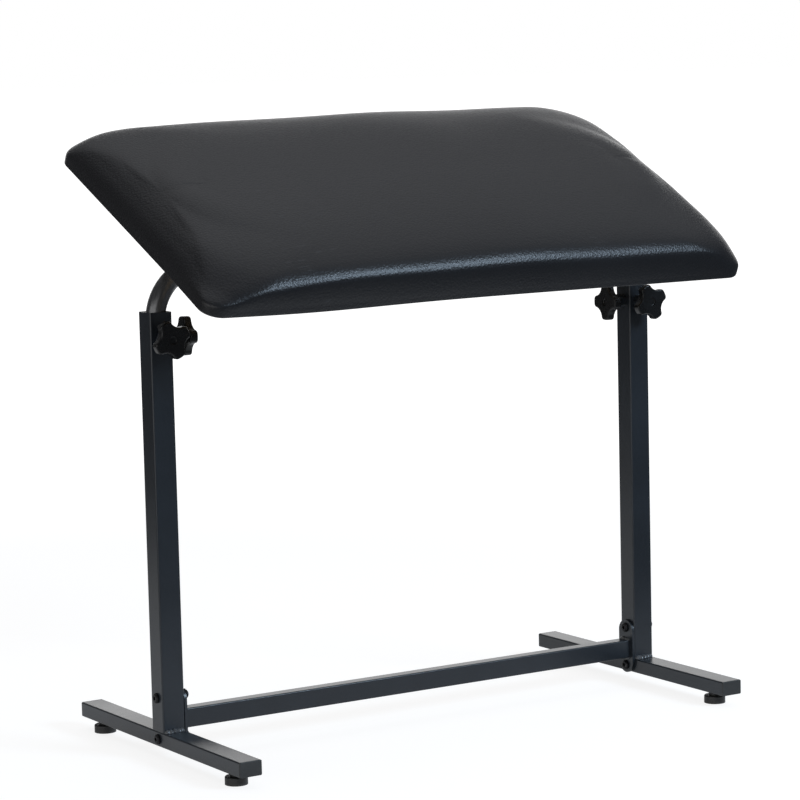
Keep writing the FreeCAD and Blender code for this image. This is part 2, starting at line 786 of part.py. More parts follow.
def make_pad_bar(label):
    body = new_body(label)
    path = new_sketch(body, "XZ_Plane")
    reach = post_x
    leg = measure("bar_leg_length")
    bend = measure("bar_bend_radius")
    flat = reach - bend
    left_circle = Part.Circle(Vector(-flat, leg, 0), Z_AXIS, bend)
    right_circle = Part.Circle(Vector(flat, leg, 0), Z_AXIS, bend)
    left_leg = path.addGeometry(Part.LineSegment(Vector(-reach, 0, 0), Vector(-reach, leg, 0)))
    left_bend = path.addGeometry(Part.ArcOfCircle(left_circle, math.pi / 2, math.pi))
    run_ends = (Vector(-flat, leg + bend, 0), Vector(flat, leg + bend, 0))
    run = path.addGeometry(Part.LineSegment(*run_ends))
    right_bend = path.addGeometry(Part.ArcOfCircle(right_circle, 0, math.pi / 2))
    right_leg = path.addGeometry(Part.LineSegment(Vector(reach, leg, 0), Vector(reach, 0, 0)))
    path.addConstraint(Sketcher.Constraint("Tangent", left_leg, 2, left_bend, 2))
    path.addConstraint(Sketcher.Constraint("Tangent", left_bend, 1, run, 1))
    path.addConstraint(Sketcher.Constraint("Tangent", run, 2, right_bend, 2))
    path.addConstraint(Sketcher.Constraint("Tangent", right_bend, 1, right_leg, 1))
    path.addConstraint(Sketcher.Constraint("Vertical", left_leg))
    pin_point(path, left_leg, 1, "-post_spacing / 2", "0")
    pin_point(path, right_leg, 2, "post_spacing / 2", "0")
    pin_point(path, left_bend, 3, "bar_bend_radius - post_spacing / 2", "bar_leg_length")
    radius = Sketcher.Constraint("Radius", right_bend, bend)
    bind(path, radius, "bar_bend_radius")
    height = Sketcher.Constraint("DistanceY", -1, 1, right_bend, 3, leg)
    bind(path, height, "bar_leg_length")
    ring = new_sketch(body, "XY_Plane")
    draw_circle(ring, "bar_diameter", "-post_spacing / 2")
    draw_circle(ring, "bar_diameter - 2 * bar_wall", "-post_spacing / 2")
    document.recompute()
    tube = body.newObject("PartDesign::AdditivePipe", body.Name + "_tube")
    tube.Profile = ring
    tube.Spine = path
    document.recompute()
    list_node(label, body, Placement(Vector(0, post_y, leg_end_level), Rotation()))


def make_bar_guide(label, side):
    body = new_body(label)
    plug = new_sketch(body, "XY_Plane")
    guide_side = "post_side - 2 * post_wall - 2 * guide_clearance"
    draw_rounded_rectangle(plug, guide_side, guide_side, "guide_corner")
    grow(body, plug, "guide_height", forwards=False)
    spigot = new_sketch(body, "XY_Plane")
    draw_circle(spigot, "bar_diameter - 2 * bar_wall - 2 * guide_spigot_clearance")
    grow(body, spigot, "guide_spigot_length")
    list_node(label, body, Placement(Vector(side * post_x, post_y, leg_end_level), Rotation()))


# Saddles
# Two moulded blocks hang under the pad's board. Each wraps the upper half of the bar, and a cap
# screwed on from below wraps the lower half. Their own frames lie on the bar's axis, tilted with
# the pad, so Z points square to the board.

bar_axis = Placement(Vector(0, post_y, bar_level), Rotation(X_AXIS, measure("pad_tilt")))
BAR_BORE = "bar_diameter + 2 * bar_running_clearance"
BOARD_LEVEL = "pad_standoff + cover_thickness"


def on_pad(x, y, z):
    """Gives the place of a piece that tilts with the pad, from the middle of the bar."""
    return bar_axis.multiply(Placement(Vector(x, y, z), Rotation()))


def saddle_x(side):
    return side * measure("saddle_spacing / 2")


def drill_saddle_bolts(body, diameter, length=None):
    holes = new_sketch(body, "XY_Plane")
    for sign in ("", "-"):
        draw_circle(holes, diameter, "0", sign + "(saddle_bolt_pitch / 2)")
    cut(body, holes, length, both_ways=length is None)


def bore_for_bar(body):
    bore = new_sketch(body, "YZ_Plane")
    draw_circle(bore, BAR_BORE)
    cut(body, bore, both_ways=True)


def make_saddle(label, side):
    body = new_body(label)
    flange = new_sketch(body, "XY_Plane", BOARD_LEVEL)
    draw_rounded_rectangle(flange, "saddle_width", "saddle_flange_length", "saddle_corner")
    grow(body, flange, "saddle_flange", forwards=False)
    block = new_sketch(body, "XY_Plane", "saddle_split / 2")
    draw_rounded_rectangle(block, "saddle_width", "saddle_length", "saddle_corner")
    grow(body, block, BOARD_LEVEL + " - saddle_flange - saddle_split / 2")
    bore_for_bar(body)
    reach = "saddle_bolt_length - saddle_cap_height - saddle_split / 2 + saddle_bolt_end_gap"
    drill_saddle_bolts(body, "saddle_bolt_diameter + 2 * thread_clearance", reach)
    screw_holes = new_sketch(body, "XY_Plane", BOARD_LEVEL)
    for across, up in board_screw_offsets():
        draw_circle(screw_holes, "board_screw_diameter + 2 * hole_clearance", across, up)
    cut(body, screw_holes, "saddle_flange", forwards=False)
    list_node(label, body, on_pad(saddle_x(side), 0, 0))


def make_saddle_cap(label, side):
    body = new_body(label)
    block = new_sketch(body, "XY_Plane", "-saddle_split / 2")
    draw_rounded_rectangle(block, "saddle_width", "saddle_length", "saddle_corner")
    grow(body, block, "saddle_cap_height", forwards=False)
    round_edges(body, "saddle_cap_rounding", lies_at("-saddle_split / 2 - saddle_cap_height"))
    bore_for_bar(body)
    drill_saddle_bolts(body, "saddle_bolt_diameter + 2 * hole_clearance")
    list_node(label, body, on_pad(saddle_x(side), 0, 0))


def make_saddle_bolts(label):
    bolt = make_screw("saddle_bolt", "saddle_bolt", "saddle_bolt_socket")
    depth = measure("saddle_split / 2 + saddle_cap_height")
    head_down = Placement(Vector(), Rotation(X_AXIS, 180))
    reach = measure("saddle_bolt_pitch / 2")
    places = [
        on_pad(saddle_x(side), end * reach, -depth).multiply(head_down)
        for side in SIDES.values()
        for end in ENDS.values()
    ]
    list_group(label, [copy_to(bolt, place) for place in places])


# Board screws
# Four short screws hold each saddle's flange to the board.

def board_screw_offsets():
    """Lists the screws' places on a saddle's flange, as sums of sizes."""
    return [
        (across + "(board_screw_short_pitch / 2)", up + "(board_screw_long_pitch / 2)")
        for across in ("", "-")
        for up in ("", "-")
    ]


def make_board_screws(label):
    screw = make_screw("board_screw", "board_screw", "board_screw_socket")
    level = measure(BOARD_LEVEL + " - saddle_flange")
    head_down = Placement(Vector(), Rotation(X_AXIS, 180))
    places = [
        on_pad(saddle_x(side) + measure(across), measure(up), level).multiply(head_down)
        for side in SIDES.values()
        for across, up in board_screw_offsets()
    ]
    list_group(label, [copy_to(screw, place) for place in places])


# Pad
# A plywood board carries a thick foam block, and a vinyl cover is pulled over both and folded
# under the board in a hem. The long edges stand nearly upright and roll over into a crowned top,
# while the short ends slope in. The pad's own frame lies in the middle of its underside.

pad_place = on_pad(0, measure("pad_shift"), measure("pad_standoff"))


def pad_row_sums(row, skin):
    """Writes a row's width, depth, corner radius and level as sums of sizes."""
    climbed, end_share, long_share = row
    end_inset = "pad_end_draw * %.3f" % end_share
    long_inset = "(pad_depth - pad_crown_width) / 2 * %.3f" % long_share
    width = "pad_width - 2 * (%s + %s)" % (end_inset, skin)
    depth = "pad_depth - 2 * (%s + %s)" % (long_inset, skin)
    growth = "%.2f * max(%s; %s)" % (CORNER_GROWTH_SHARE, end_inset, long_inset)
    limit = "(%s) / 2 * %.2f" % (depth, CORNER_LIMIT_SHARE)
    corner = "min(pad_corner - (%s) + %s; %s)" % (skin, growth, limit)
    level = "pad_straight_edge + (pad_height - pad_straight_edge) * %.3f - (%s)" % (climbed, skin)
    return width, depth, corner, level


def loft_pad(body, kind, skin):
    """Lofts the pad's form, drawn in by a skin's thickness, as an added or cut feature."""
    document.recompute()
    sections = []
    for row in PAD_ROW_SHARES:
        width, depth, corner, level = pad_row_sums(row, skin)
        section = new_sketch(body, "XY_Plane", level)
        draw_rounded_rectangle(section, width, depth, corner)
        sections.append(section)
    loft = body.newObject(kind, body.Name + "_form")
    loft.Profile = sections[0]
    loft.Sections = sections[1:]
    document.recompute()


def edge_outline(body, inset, corner, level="0"):
    """Sketches the pad's plan outline, drawn in by an inset."""
    outline = new_sketch(body, "XY_Plane", level)
    width = "pad_width - 2 * (%s)" % inset
    depth = "pad_depth - 2 * (%s)" % inset
    draw_rounded_rectangle(outline, width, depth, corner)
    return outline


def make_pad_board(label):
    body = new_body(label)
    inset = "cover_thickness + board_inset"
    outline = edge_outline(body, inset, "pad_corner - (%s)" % inset, "cover_thickness")
    grow(body, outline, "board_thickness")
    pilot_holes = new_sketch(body, "XY_Plane", "cover_thickness")
    for side in ("", "-"):
        for across, up in board_screw_offsets():
            x = side + "(saddle_spacing / 2) + " + across
            y = up + " - pad_shift"
            draw_circle(pilot_holes, "board_screw_diameter + 2 * thread_clearance", x, y)
    depth = "board_screw_length - saddle_flange + board_screw_end_gap"
    cut(body, pilot_holes, depth)
    list_node(label, body, pad_place)


def make_pad_foam(label):
    body = new_body(label)
    skin = "cover_thickness + cover_ease"
    loft_pad(body, "PartDesign::AdditiveLoft", skin)
    board_space = edge_outline(body, "0", "pad_corner")
    cut(body, board_space, "cover_thickness + board_thickness")
    list_node(label, body, pad_place)


def make_pad_cover(label):
    body = new_body(label)
    grow(body, edge_outline(body, "0", "pad_corner"), "pad_straight_edge")
    loft_pad(body, "PartDesign::AdditiveLoft", "0")
    inner_corner = "pad_corner - cover_thickness"
    room = edge_outline(body, "cover_thickness", inner_corner, "cover_thickness")
    cut(body, room, "pad_straight_edge - 2 * cover_thickness")
    loft_pad(body, "PartDesign::SubtractiveLoft", "cover_thickness")
    opening = edge_outline(body, "cover_hem", "cover_hem_corner")
    cut(body, opening, "cover_thickness")
    list_node(label, body, pad_place)


for name, side in SIDES.items():
    make_foot_bar(name + "_foot_bar", side)
    make_post(name + "_post", side)
    make_post_welds(name + "_post_welds", side)
    make_end_plate(name + "_end_plate", side)
    for end_name, end in ENDS.items():
        make_end_cap("%s_%s_end_cap" % (name, end_name), side, end)
        make_glide("%s_%s_glide" % (name, end_name), side, end)
        make_glide_stem("%s_%s_glide_stem" % (name, end_name), side, end)
    front, inner = outwards["front"], outwards[name]
    make_knob(name + "_front_knob", side, front, FRONT_KNOB_TURN)
    make_knob_stud(name + "_front_knob_stud", side, front)
    make_knob(name + "_inner_knob", side, inner, 0)
    make_knob_stud(name + "_inner_knob_stud", side, inner)
    make_bar_guide(name + "_bar_guide", side)
    make_saddle(name + "_saddle", side)
    make_saddle_cap(name + "_saddle_cap", side)
make_cross_bar("cross_bar")
make_cross_bar_welds("cross_bar_welds")
make_frame_bolts("frame_bolts")
make_frame_nuts("frame_nuts")
make_clamp_nuts("clamp_nuts")
make_foot_inserts("foot_inserts")
make_pad_bar("pad_bar")
make_saddle_bolts("saddle_bolts")
make_board_screws("board_screws")
make_pad_board("pad_board")
make_pad_foam("pad_foam")
make_pad_cover("pad_cover")
document.recompute()

# Every object must be sound before anything is written
for item in document.Objects:
    if "Invalid" in item.State or "Error" in item.State:
        raise ValueError(item.Label + " failed to recompute")
for label, item in nodes.items():
    if item.Shape.isNull() or not item.Shape.isValid() or not item.Shape.Solids:
        raise ValueError(label + " has no sound shape")

os.makedirs("parts", exist_ok=True)
for label, item in nodes.items():
    item.Shape.exportStep(os.path.join("parts", label + ".step"))
print("%d nodes written" % len(nodes))
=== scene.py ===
import math

import bmesh
import bpy
from mathutils import Matrix, Vector


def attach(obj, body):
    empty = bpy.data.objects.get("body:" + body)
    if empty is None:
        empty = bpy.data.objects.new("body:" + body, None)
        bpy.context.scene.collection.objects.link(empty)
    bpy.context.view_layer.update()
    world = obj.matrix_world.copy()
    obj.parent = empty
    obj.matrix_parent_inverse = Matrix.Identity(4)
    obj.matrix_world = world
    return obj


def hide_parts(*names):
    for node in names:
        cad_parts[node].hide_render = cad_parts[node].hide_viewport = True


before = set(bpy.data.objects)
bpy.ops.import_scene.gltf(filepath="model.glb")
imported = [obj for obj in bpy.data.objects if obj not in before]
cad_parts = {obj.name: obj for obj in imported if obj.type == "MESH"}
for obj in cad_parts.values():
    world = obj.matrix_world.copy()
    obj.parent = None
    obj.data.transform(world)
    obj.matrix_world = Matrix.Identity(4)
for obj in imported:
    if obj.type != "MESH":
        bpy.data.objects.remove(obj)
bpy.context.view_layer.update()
scene = bpy.context.scene

# View of the stand
# The stand is seen from the front left, a little above the level of its pad, through a long lens
# held a degree off level.

EYE = Vector((-1.6750, -2.6628, 0.7125))
EYE_YAW = math.radians(32.052)
EYE_DIP = math.radians(6.695)
EYE_ROLL = math.radians(-1.353)
FOCAL_LENGTH = 134.11

level = math.cos(EYE_DIP)
ahead = Vector((level * math.sin(EYE_YAW), level * math.cos(EYE_YAW), -math.sin(EYE_DIP)))
level_right = Vector((math.cos(EYE_YAW), -math.sin(EYE_YAW), 0))
level_up = level_right.cross(ahead)
right = math.cos(EYE_ROLL) * level_right + math.sin(EYE_ROLL) * level_up
up = math.cos(EYE_ROLL) * level_up - math.sin(EYE_ROLL) * level_right

lens = bpy.data.cameras.new("view")
lens.sensor_width = 36
lens.lens = FOCAL_LENGTH
lens.clip_end = 100
eye = bpy.data.objects.new("view", lens)
eye.matrix_world = Matrix.Translation(EYE) @ Matrix((right, up, -ahead)).transposed().to_4x4()
scene.collection.objects.link(eye)
scene.camera = eye
scene.view_settings.view_transform = "Standard"


# Square posts, foot bars and cross bar
# Cold-rolled steel tube, cut, drilled and welded, then powder coated in a satin charcoal. The coat
# has a fine orange peel, catches pale light at a low angle and is rubbed thin in a few places.

class Strand:
    """A number, a colour or a direction on its way through the nodes of a finish."""

    def __init__(self, finish, node, socket):
        self.finish = finish
        self.node = node
        self.socket = socket

    def also(self, output):
        """Gives another output of the same node."""
        return Strand(self.finish, self.node, self.node.outputs[output])

    def maths(self, operation, first, second):
        return self.finish.node("ShaderNodeMath", {"operation": operation}, {0: first, 1: second})

    def __add__(self, other):
        return self.maths("ADD", self, other)

    def __radd__(self, other):
        return self.maths("ADD", other, self)

    def __sub__(self, other):
        return self.maths("SUBTRACT", self, other)

    def __rsub__(self, other):
        return self.maths("SUBTRACT", other, self)

    def __mul__(self, other):
        return self.maths("MULTIPLY", self, other)

    def __rmul__(self, other):
        return self.maths("MULTIPLY", other, self)

    def __pow__(self, other):
        return self.maths("POWER", self, other)


class Finish:
    """A finish built up from nodes in front of one Principled shader."""

    def __init__(self, name, **constants):
        self.material = bpy.data.materials.new(name)
        self.material.use_nodes = True
        self.tree = self.material.node_tree
        self.shader = self.tree.nodes["Principled BSDF"]
        for label, amount in constants.items():
            self.shader.inputs[label.replace("_", " ")].default_value = amount

    def node(self, kind, settings=None, inputs=None, output=0):
        """Adds a node with its settings and the values or strands of its inputs."""
        made = self.tree.nodes.new(kind)
        for label, choice in (settings or {}).items():
            setattr(made, label, choice)
        for label, amount in (inputs or {}).items():
            self.feed(made.inputs[label], amount)
        return Strand(self, made, made.outputs[output])

    def feed(self, socket, amount):
        if isinstance(amount, Strand):
            self.tree.links.new(amount.socket, socket)
        else:
            socket.default_value = amount

    def place(self, stretch=(1, 1, 1), turn=(0, 0, 0)):
        """Gives the place on the piece, stretched and turned for a pattern that has a direction."""
        spot = self.node("ShaderNodeTexCoord", output="Object")
        return self.node("ShaderNodeMapping", inputs={
            "Vector": spot, "Scale": stretch, "Rotation": turn})

    def cloud(self, spot, scale, detail=2.0, roughness=0.5):
        """Gives soft noise from 0 to 1 about a half."""
        return self.node("ShaderNodeTexNoise", inputs={
            "Vector": spot, "Scale": scale, "Detail": detail, "Roughness": roughness})

    def cells(self, spot, scale):
        """Gives the distance from the middles of scattered cells."""
        return self.node("ShaderNodeTexVoronoi", inputs={"Vector": spot, "Scale": scale})

    def steps(self, amount, low, high):
        """Turns a value into a mask that rises from 0 at low to 1 at high."""
        return self.node("ShaderNodeMapRange", {"interpolation_type": "SMOOTHSTEP"}, {
            "Value": amount, "From Min": low, "From Max": high})

    def blend(self, share, first, second):
        """Mixes two colours by a share."""
        return self.node(
            "ShaderNodeMix", {"data_type": "RGBA"}, {0: share, 6: first, 7: second}, output=2)

    def relief(self, height, distance, strength):
        """Turns a height into a slope of the surface."""
        return self.node("ShaderNodeBump", inputs={
            "Height": height, "Distance": distance, "Strength": strength}, output="Normal")

    def show(self, colour, roughness, normal=None):
        """Feeds the shader and gives the finished material."""
        self.feed(self.shader.inputs["Base Color"], colour)
        self.feed(self.shader.inputs["Roughness"], roughness)
        if normal is not None:
            self.feed(self.shader.inputs["Normal"], normal)
        return self.material


def put_on(material, *names):
    """Gives CAD nodes a finish."""
    for name in names:
        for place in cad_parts[name].material_slots:
            place.material = material


def both_sides(ends, piece):
    """Lists the names of a piece at each of two ends or faces of both sides."""
    return [side + end + piece for side in ("left_", "right_") for end in ends]


FRAME_CHARCOAL = (0.0105, 0.0135, 0.0175, 1)
THIN_CHARCOAL = (0.045, 0.048, 0.052, 1)
FLECK_GREY = (0.10, 0.11, 0.13, 1)
PATCH_LIFT = 1.35


def powder_coat(name, colour, thin, gloss):
    """Makes a satin powder coat over steel, with its peel, flecks and rubbed spots."""
    coat = Finish(name)
    spot = coat.place()
    peel = coat.cloud(spot, 620, 3, 0.55)
    fine = coat.cloud(spot, 2400, 1)
    drift = coat.cloud(spot, 9, 4, 0.6)
    flecks = coat.steps(coat.cells(spot, 1500), 0.16, 0.05)
    rubbed = coat.steps(coat.cloud(coat.place((1, 1, 0.35)), 60, 6, 0.7), 0.70, 0.78)
    lighter = tuple(PATCH_LIFT * part for part in colour[:3]) + (1,)
    shade = coat.blend(coat.steps(drift, 0.3, 0.7), colour, lighter)
    shade = coat.blend(flecks * 0.25, shade, FLECK_GREY)
    shade = coat.blend(rubbed * 0.35, shade, thin)
    rough = gloss + 0.10 * (drift - 0.5) + 0.06 * (fine - 0.5) + 0.12 * rubbed
    bumps = coat.relief(peel + 0.25 * fine, 0.00012, 0.55)
    return coat.show(shade, rough, bumps)


frame_coat = powder_coat("frame_powder_coat", FRAME_CHARCOAL, THIN_CHARCOAL, 0.30)
put_on(frame_coat, "left_post", "right_post", "left_foot_bar", "right_foot_bar", "cross_bar",
       "left_end_plate", "right_end_plate")


# Weld beads
# Each bead is a row of overlapping drops that froze one after another, in the corner between a
# post and its foot bar and where the cross bar meets its end plates. They are coated with the rest.

BEAD_DROP = 0.0034
BEAD_PITCH = 0.0035
BEAD_SHORT = 0.0042
BEAD_PROUD = 0.0006
CROSS_DROP = 0.0021
CROSS_PITCH = 0.0019
CROSS_HALF = 0.0058
CROSS_SUNK = 0.0004
DROP_STRAY = ((-0.0005, -0.0005, -0.0003), (0.0005, 0.0005, 0.0004))
DROP_SHARES = ((0.80, 0.80, 0.70), (1.16, 1.16, 1.15))
POST_X = 0.2975
POST_Y = -0.003
HALF_POST = 0.0125
FOOT_TOP = 0.0284
PLATE_FACE_X = 0.282
CROSS_BAR_LEVELS = (0.0295, 0.0498)

weld_coat = Finish("weld_coat")
spot = weld_coat.place()
# The lighter patches in the bead's colour are painted glints on the drops.
weld_coat.show(
    weld_coat.blend(weld_coat.cloud(spot, 900, 3), (0.03, 0.032, 0.036, 1), (0.16, 0.165, 0.17, 1)),
    0.05 + 0.12 * weld_coat.cloud(spot, 700),
    weld_coat.relief(weld_coat.cloud(spot, 1300, 2), 0.0002, 0.5))


def open_row(name, *sockets):
    """Opens a node tree with points a pitch apart along a guide; more inputs are label and kind."""
    tree = bpy.data.node_groups.new(name, "GeometryNodeTree")
    for label, kind in (("Guide", "Geometry"), ("Pitch", "Float"), ("Finish", "Material"), *sockets):
        tree.interface.new_socket(label, in_out="INPUT", socket_type="NodeSocket" + kind)
    tree.interface.new_socket("Row", in_out="OUTPUT", socket_type="NodeSocketGeometry")
    given = tree.nodes.new("NodeGroupInput")
    line = tree.nodes.new("GeometryNodeMeshToCurve")
    tree.links.new(given.outputs["Guide"], line.inputs["Mesh"])
    points = tree.nodes.new("GeometryNodeCurveToPoints")
    points.mode = "LENGTH"
    tree.links.new(line.outputs["Curve"], points.inputs["Curve"])
    tree.links.new(given.outputs["Pitch"], points.inputs["Length"])
    return tree, given, points


def close_row(tree, given, row):
    """Makes the copies of a row real and gives them their finish."""
    real = tree.nodes.new("GeometryNodeRealizeInstances")
    tree.links.new(row.outputs["Instances"], real.inputs["Geometry"])
    finished = tree.nodes.new("GeometryNodeSetMaterial")
    tree.links.new(real.outputs["Geometry"], finished.inputs["Geometry"])
    tree.links.new(given.outputs["Finish"], finished.inputs["Material"])
    result = tree.nodes.new("NodeGroupOutput")
    tree.links.new(finished.outputs["Geometry"], result.inputs["Row"])
    return tree


def chance(tree, seed, bounds):
    """Gives a vector that falls between two bounds by chance, another one at each point."""
    throw = tree.nodes.new("FunctionNodeRandomValue")
    throw.data_type = "FLOAT_VECTOR"
    throw.inputs["Seed"].default_value = seed
    throw.inputs[0].default_value, throw.inputs[1].default_value = bounds
    return throw.outputs[0]


def bead_tree():
    """Builds the nodes that lay frozen drops along each edge of a guide."""
    tree, given, points = open_row("weld_bead", ("Drop", "Float"))
    make, link = tree.nodes.new, tree.links.new
    shifted = make("GeometryNodeSetPosition")
    link(points.outputs["Points"], shifted.inputs["Geometry"])
    link(chance(tree, 4, DROP_STRAY), shifted.inputs["Offset"])
    drop = make("GeometryNodeMeshIcoSphere")
    drop.inputs["Subdivisions"].default_value = 3
    link(given.outputs["Drop"], drop.inputs["Radius"])
    smooth = make("GeometryNodeSetShadeSmooth")
    link(drop.outputs["Mesh"], smooth.inputs["Geometry"])
    row = make("GeometryNodeInstanceOnPoints")
    link(shifted.outputs["Geometry"], row.inputs["Points"])
    link(smooth.outputs["Geometry"], row.inputs["Instance"])
    link(chance(tree, 11, DROP_SHARES), row.inputs["Scale"])
    return close_row(tree, given, row)


def guide_piece(name, lines):
    """Makes an object of loose edges, each through a list of points."""
    mesh = bpy.data.meshes.new(name)
    points, edges = [], []
    for line in lines:
        first = len(points)
        points += [tuple(point) for point in line]
        edges += [(first + i, first + i + 1) for i in range(len(line) - 1)]
    mesh.from_pydata(points, edges, [])
    piece = bpy.data.objects.new(name, mesh)
    scene.collection.objects.link(piece)
    return piece


def grow_from(name, lines, tree, values):
    """Runs a node tree on a guide of lines and keeps the result as a plain mesh."""
    piece = guide_piece(name, lines)
    growth = piece.modifiers.new("growth", "NODES")
    growth.node_group = tree
    for item in tree.interface.items_tree:
        if item.in_out == "INPUT" and item.name in values:
            growth[item.identifier] = values[item.name]
    bpy.context.view_layer.update()
    seen = piece.evaluated_get(bpy.context.evaluated_depsgraph_get())
    mesh = bpy.data.meshes.new_from_object(seen)
    piece.modifiers.remove(growth)
    guide = piece.data
    piece.data = mesh
    mesh.name = name
    bpy.data.meshes.remove(guide)
    return piece


beads = bead_tree()
bead_reach = HALF_POST - BEAD_SHORT
bead_level = FOOT_TOP + BEAD_PROUD
for side, sign in (("left", -1), ("right", 1)):
    lines = []
    for end in (-1, 1):
        corner_y = POST_Y + end * (HALF_POST + BEAD_PROUD)
        lines.append([(sign * POST_X - bead_reach, corner_y, bead_level),
                      (sign * POST_X + bead_reach, corner_y, bead_level)])
    welds = grow_from(side + "_post_bead", lines, beads, {
        "Drop": BEAD_DROP, "Pitch": BEAD_PITCH, "Finish": weld_coat.material})
    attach(welds, "stand")
    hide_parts(side + "_post_welds")

cross_x = PLATE_FACE_X - CROSS_SUNK
lines = [
    [(sign * cross_x, POST_Y - CROSS_HALF, level), (sign * cross_x, POST_Y + CROSS_HALF, level)]
    for sign in (-1, 1) for level in CROSS_BAR_LEVELS
]
cross_beads = grow_from("cross_bar_bead", lines, beads, {
    "Drop": CROSS_DROP, "Pitch": CROSS_PITCH, "Finish": weld_coat.material})
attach(cross_beads, "stand")
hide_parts("cross_bar_welds")


# End caps of the foot bars
# Injection-moulded plastic plugs, pushed in flush, in nearly the colour of the coat but duller.

cap_plastic = Finish("cap_plastic")
spot = cap_plastic.place()
texture = cap_plastic.cells(spot, 1900)
faded = cap_plastic.steps(cap_plastic.cloud(spot, 30, 4), 0.35, 0.7)
cap_plastic.show(
    cap_plastic.blend(faded, (0.018, 0.019, 0.019, 1), (0.030, 0.031, 0.031, 1)),
    0.46 + 0.12 * (cap_plastic.cloud(spot, 55, 3) - 0.5),
    cap_plastic.relief(texture, 0.0001, 0.35))
put_on(cap_plastic.material, *both_sides(("front", "rear"), "_end_cap"))


# Frame bolts, nuts and stems
# Button-head socket screws and nuts, blackened and oiled, hold the cross bar's plates. The studs
# of the knobs and the stems of the glides are threaded rod, bright with zinc.

black_oxide = Finish("black_oxide", Metallic=0.85)
spot = black_oxide.place()
worn = black_oxide.steps(black_oxide.cloud(spot, 260, 5, 0.65), 0.56, 0.72)
black_oxide.show(
    black_oxide.blend(worn, (0.020, 0.020, 0.022, 1), (0.075, 0.072, 0.070, 1)),
    0.34 + 0.18 * black_oxide.cloud(spot, 320, 3),
    black_oxide.relief(black_oxide.cloud(spot, 1800, 2), 0.00008, 0.4))
put_on(black_oxide.material, "frame_bolts", "frame_nuts", "saddle_bolts", "board_screws")


def bright_thread(name, axis):
    """Makes bright zinc on a threaded rod whose ridges follow one another along an axis, with
    painted shade in the grooves.
    """
    zinc = Finish(name, Metallic=1.0)
    spot = zinc.place()
    ridge = zinc.node("ShaderNodeTexWave", {"bands_direction": axis, "wave_profile": "SIN"}, {
        "Vector": spot, "Scale": 250.0}, output="Fac")
    stain = zinc.cloud(spot, 240, 4)
    # The grooves are painted darker and the crests lighter: painted shade and painted highlight on
    # the thread.
    return zinc.show(
        zinc.blend(ridge * 0.6, (0.20, 0.20, 0.19, 1), (0.55, 0.56, 0.56, 1)),
        0.26 + 0.2 * stain,
        zinc.relief(ridge + 0.2 * stain, 0.0005, 0.8))


put_on(bright_thread("zinc_thread_y", "Y"), "left_front_knob_stud", "right_front_knob_stud")
put_on(bright_thread("zinc_thread_x", "X"), "left_inner_knob_stud", "right_inner_knob_stud")
put_on(bright_thread("zinc_thread_z", "Z"), "foot_inserts",
       *both_sides(("front", "rear"), "_glide_stem"))
put_on(frame_coat, "clamp_nuts")


# Levelling glides
# Black moulded discs that carry the stand. The sole and rim are scuffed grey with floor dust.

glide_plastic = Finish("glide_plastic")
spot = glide_plastic.place()
height = glide_plastic.node("ShaderNodeSeparateXYZ", inputs={0: spot}, output="Z")
dusty = glide_plastic.steps(height + 0.003 * glide_plastic.cloud(spot, 300, 3), 0.0045, 0.001)
glide_plastic.show(
    glide_plastic.blend(dusty * 0.6, (0.010, 0.010, 0.010, 1), (0.07, 0.068, 0.062, 1)),
    0.38 + 0.2 * dusty + 0.1 * glide_plastic.cloud(spot, 400),
    glide_plastic.relief(glide_plastic.cloud(spot, 2200, 2), 0.0001, 0.4))
put_on(glide_plastic.material, *both_sides(("front", "rear"), "_glide"))


# Knobs
# Black nylon heads with four lobes, moulded over the studs. The skin is eroded to a fine matt
# texture and polished a little by hands on the lobes.

knob_nylon = Finish("knob_nylon", Specular_IOR_Level=0.32)
spot = knob_nylon.place()
handled = knob_nylon.steps(knob_nylon.cloud(spot, 70, 3), 0.4, 0.65)
knob_nylon.show(
    knob_nylon.blend(handled, (0.0040, 0.0040, 0.0043, 1), (0.0075, 0.0075, 0.0078, 1)),
    0.32 - 0.12 * handled + 0.05 * knob_nylon.cloud(spot, 900),
    knob_nylon.relief(knob_nylon.cells(spot, 2600), 0.00008, 0.45))
put_on(knob_nylon.material, *both_sides(("front", "inner"), "_knob"))


# Bent pad bar and its guides
# Round steel tube, bent cold and coated with the frame but smoother, so it shows bright streaks.
# Sliding in the posts has drawn fine lines along its legs. The guides are plain black nylon.

bar_coat = Finish("bar_coat", Metallic=0.6)
spot = bar_coat.place()
drawn = bar_coat.cloud(bar_coat.place((1, 1, 0.02)), 1500, 3)
drift = bar_coat.cloud(spot, 12, 4)
rubs = bar_coat.steps(drawn, 0.5, 0.8)
bar_coat.show(
    bar_coat.blend(rubs * 0.5, (0.10, 0.101, 0.104, 1), (0.21, 0.212, 0.215, 1)),
    0.16 + 0.10 * (drift - 0.5) + 0.10 * drawn,
    bar_coat.relief(bar_coat.cloud(spot, 420, 2) + 0.3 * drawn, 0.0001, 0.5))
put_on(bar_coat.material, "pad_bar")
put_on(knob_nylon.material, "left_bar_guide", "right_bar_guide")


# Saddles
# Two glass-filled nylon blocks, each split across the bar's bore, grip the bar and carry the board.

saddle_nylon = Finish("saddle_nylon")
spot = saddle_nylon.place()
flow = saddle_nylon.cloud(saddle_nylon.place((1, 0.3, 1)), 130, 4, 0.6)
saddle_nylon.show(
    saddle_nylon.blend(flow, (0.010, 0.010, 0.011, 1), (0.024, 0.024, 0.025, 1)),
    0.42 + 0.16 * flow,
    saddle_nylon.relief(saddle_nylon.cells(spot, 1700) + flow, 0.0001, 0.5))
put_on(saddle_nylon.material, "left_saddle", "right_saddle", "left_saddle_cap", "right_saddle_cap")


# Board under the pad
# Nine-millimetre poplar plywood, sanded and left bare. Its face grain runs along the pad.

PAD_TILT = math.radians(25.35)

